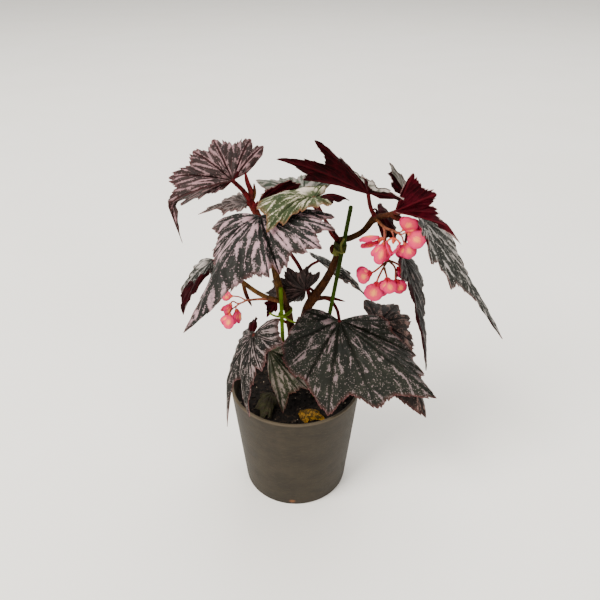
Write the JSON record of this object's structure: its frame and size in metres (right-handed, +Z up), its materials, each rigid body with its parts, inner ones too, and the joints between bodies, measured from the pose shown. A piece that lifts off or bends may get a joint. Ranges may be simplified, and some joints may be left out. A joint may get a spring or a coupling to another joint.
{
  "type": "potted begonia",
  "caption": "Cane begonia with lobed, striped leaves and hanging sprays of small blooms, tied to stakes in a plain tapered pot of soil.",
  "frame": {"origin": "the middle of the underside of the pot", "axes": "+Z up, -Y towards the viewer of the picture, +X to the viewer's right"},
  "size_m": [0.2636, 0.1551, 0.3342],
  "materials": {
    "pot": "matt taupe",
    "soil": "damp potting compost",
    "stem": "smooth brown cane",
    "leaf_dark": "satin leaf, dark green with pink stripes",
    "leaf_wine": "satin wine-red underside",
    "leaf_pale": "satin pale young leaf",
    "leaf_yellow": "faded fallen leaf",
    "leaf_brown": "drying leaf",
    "bloom": "waxy pink petals",
    "stake_green": "green stained split cane",
    "stake_dark": "dark green stained split cane",
    "tie": "green plant tie"
  },
  "bodies": {
    "root": {"bloom_left_a": "bloom", "bloom_left_b": "bloom", "bloom_left_c": "bloom", "bloom_left_d": "bloom", "bloom_low_a": "bloom", "bloom_low_b": "bloom", "bloom_low_c": "bloom", "bloom_low_d": "bloom", "bloom_low_e": "bloom", "bloom_right_a": "bloom", "bloom_right_b": "bloom", "bloom_right_c": "bloom", "bloom_right_d": "bloom", "bloom_right_e": "bloom", "bloom_right_f": "bloom", "cane_left": "stem", "cane_right": "stem", "leaf_back_silver": "leaf_dark", "leaf_behind_blooms": "leaf_wine", "leaf_broad_front": "leaf_dark", "leaf_broad_left": "leaf_dark", "leaf_dry": "leaf_brown", "leaf_edge_on": "leaf_dark", "leaf_fallen": "leaf_yellow", "leaf_far_left": "leaf_dark", "leaf_hanging_right": "leaf_dark", "leaf_high_left": "leaf_dark", "leaf_inner_low": "leaf_dark", "leaf_low_left": "leaf_dark", "leaf_low_right": "leaf_dark", "leaf_narrow_right": "leaf_dark", "leaf_red_fan": "leaf_wine", "leaf_right_sprig": "leaf_wine", "leaf_small_centre": "leaf_dark", "leaf_small_left": "leaf_dark", "leaf_tiny_red": "leaf_wine", "leaf_top_red": "leaf_wine", "leaf_young_pale": "leaf_pale", "leaf_young_red": "leaf_wine", "pot": "pot", "soil": "soil", "stake_left": "stake_green", "stake_right": "stake_dark", "tie_left": "tie", "tie_right": "tie"}
  },
  "joints": []
}
